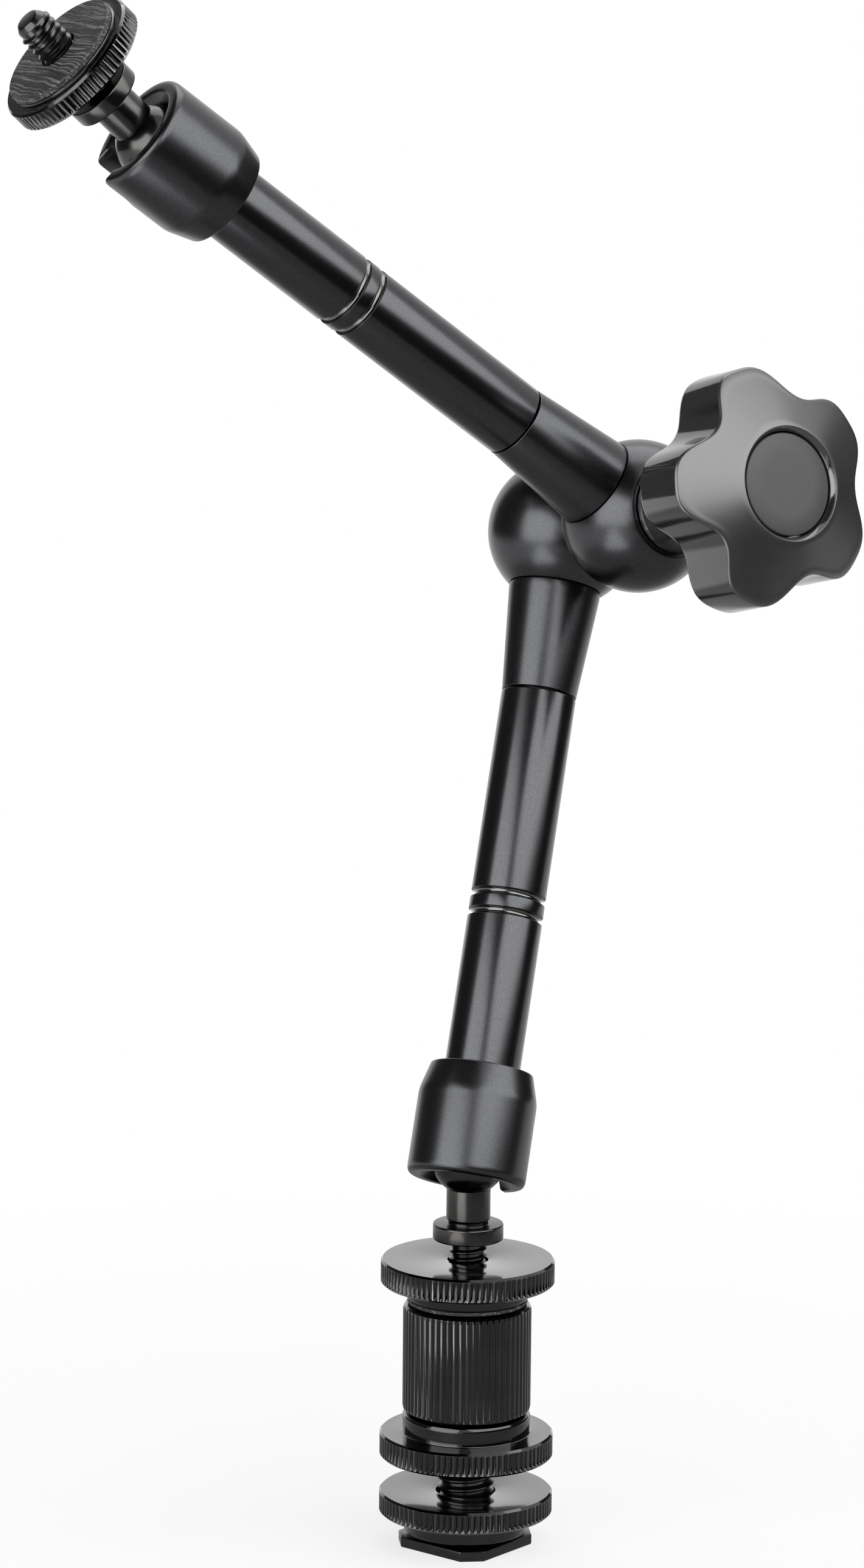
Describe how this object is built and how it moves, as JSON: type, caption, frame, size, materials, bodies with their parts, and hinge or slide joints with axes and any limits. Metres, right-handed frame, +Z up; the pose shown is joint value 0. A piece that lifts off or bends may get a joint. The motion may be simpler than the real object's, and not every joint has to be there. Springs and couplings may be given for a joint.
{
  "type": "articulating friction arm",
  "caption": "Jointed friction arm with slotted ball sockets, a lobed clamp knob at the elbow, a ribbed disc and screw at one end and a shoe foot with ribbed wheels at the other.",
  "frame": {"origin": "centre of the flat bottom face of the square shoe foot", "axes": "+Z up along the screw stack, away from the foot; +X to the right and +Y away from the viewer of the pictured pose"},
  "size_m": [0.1389, 0.0859, 0.2602],
  "materials": {
    "arm_anodised": "black anodised, satin",
    "stud_metal": "black nickel plated, glossy",
    "wheel_metal": "black anodised, glossy",
    "foot_metal": "black plated",
    "knob_plastic": "black moulded plastic, satin",
    "cap_plastic": "dark grey plastic, matte",
    "pad_rubber": "dark grey rubber",
    "inner_steel": "turned steel",
    "insert_brass": "turned brass",
    "seat_nylon": "natural nylon"
  },
  "bodies": {
    "base": {"shoe_foot": "foot_metal"},
    "foot_wheel": {"foot_clamp_wheel": "wheel_metal"},
    "barrel_wheel": {"barrel_lock_wheel": "wheel_metal"},
    "barrel": {"coupling_barrel": "wheel_metal"},
    "lower_stud": {"lower_ball_stud": "stud_metal"},
    "lower_pad": {"lower_disc_pad": "pad_rubber"},
    "lower_disc": {"lower_lock_disc": "wheel_metal"},
    "lower_socket": {"lower_socket": "arm_anodised"},
    "lower_arm": {"lower_tube": "arm_anodised", "lower_collar": "arm_anodised", "lower_elbow_half": "arm_anodised", "elbow_wave_spring": "inner_steel", "elbow_friction_washer": "seat_nylon", "lower_push_rod": "inner_steel", "lower_ball_seat": "seat_nylon"},
    "clamp": {"thrust_washer": "inner_steel", "upper_wedge_cone": "inner_steel", "cone_spacer": "inner_steel", "lower_wedge_cone": "inner_steel"},
    "knob": {"knob": "knob_plastic", "knob_insert": "insert_brass", "knob_cap": "cap_plastic", "clamp_screw": "inner_steel"},
    "upper_arm": {"upper_elbow_half": "arm_anodised", "upper_collar": "arm_anodised", "upper_tube": "arm_anodised", "upper_push_rod": "inner_steel", "upper_ball_seat": "seat_nylon"},
    "upper_socket": {"upper_socket": "arm_anodised"},
    "upper_stud": {"upper_ball_stud": "stud_metal"},
    "upper_pad": {"upper_disc_pad": "pad_rubber"},
    "upper_disc": {"upper_lock_disc": "wheel_metal"}
  },
  "joints": [
    {"name": "foot_wheel_turn", "type": "hinge", "parent": "base", "child": "foot_wheel", "pos_m": [0, 0, 0.00255], "axis": [0, 0, 1], "range_deg": [-180, 180]},
    {"name": "barrel_wheel_turn", "type": "hinge", "parent": "base", "child": "barrel_wheel", "pos_m": [0, 0, 0.01555], "axis": [0, 0, 1], "range_deg": [-180, 180]},
    {"name": "barrel_turn", "type": "hinge", "parent": "base", "child": "barrel", "pos_m": [0, 0, 0.0234], "axis": [0, 0, 1], "range_deg": [-180, 180]},
    {"name": "lower_stud_turn", "type": "hinge", "parent": "barrel", "child": "lower_stud", "pos_m": [0, 0, 0.0419], "axis": [0, 0, 1], "continuous": true},
    {"name": "lower_disc_travel", "type": "slide", "parent": "lower_stud", "child": "lower_pad", "axis": [0, 0, 1], "range_m": [0, 0.00254]},
    {"name": "lower_disc_turn", "type": "hinge", "parent": "lower_pad", "child": "lower_disc", "pos_m": [0, 0, 0.0431], "axis": [0, 0, 1], "range_deg": [0, 720]},
    {"name": "lower_tilt", "type": "hinge", "parent": "lower_stud", "child": "lower_socket", "pos_m": [0, 0, 0.06695], "axis": [0.9409, -0.3387, 0], "range_deg": [-65, 56]},
    {"name": "lower_socket_turn", "type": "hinge", "parent": "lower_socket", "child": "lower_arm", "pos_m": [0, 0, 0.06695], "axis": [-0.1405, -0.3902, -0.91], "continuous": true},
    {"name": "clamp_travel", "type": "slide", "parent": "lower_arm", "child": "clamp", "axis": [0.5688, -0.7841, 0.2484], "range_m": [0, 0.00187]},
    {"name": "knob_turn", "type": "hinge", "parent": "clamp", "child": "knob", "pos_m": [0.02747, 0.02594, 0.1717], "axis": [0.5688, -0.7841, 0.2484], "range_deg": [0, 540]},
    {"name": "elbow_fold", "type": "hinge", "parent": "lower_arm", "child": "upper_arm", "pos_m": [0.02747, 0.02594, 0.1717], "axis": [0.5688, -0.7841, 0.2484], "range_deg": [-225, 80]},
    {"name": "upper_socket_turn", "type": "hinge", "parent": "upper_arm", "child": "upper_socket", "pos_m": [-0.05218, -0.01125, 0.23666], "axis": [-0.7287, -0.3403, 0.5943], "continuous": true},
    {"name": "upper_tilt", "type": "hinge", "parent": "upper_socket", "child": "upper_stud", "pos_m": [-0.05218, -0.01125, 0.23666], "axis": [0.1905, -0.9343, -0.3014], "range_deg": [-26, 96]},
    {"name": "upper_disc_travel", "type": "slide", "parent": "upper_stud", "child": "upper_pad", "axis": [-0.6508, -0.35, 0.6737], "range_m": [-0.00254, 0.00254]},
    {"name": "upper_disc_turn", "type": "hinge", "parent": "upper_pad", "child": "upper_disc", "pos_m": [-0.05218, -0.01125, 0.23666], "axis": [-0.6508, -0.35, 0.6737], "range_deg": [-720, 720]}
  ],
  "couplings": [
    {"joint": "lower_disc_turn", "follows": "lower_disc_travel", "rad_per_m": 4947.4},
    {"joint": "upper_disc_turn", "follows": "upper_disc_travel", "rad_per_m": 4947.4},
    {"joint": "knob_turn", "follows": "clamp_travel", "rad_per_m": 5026.5}
  ]
}
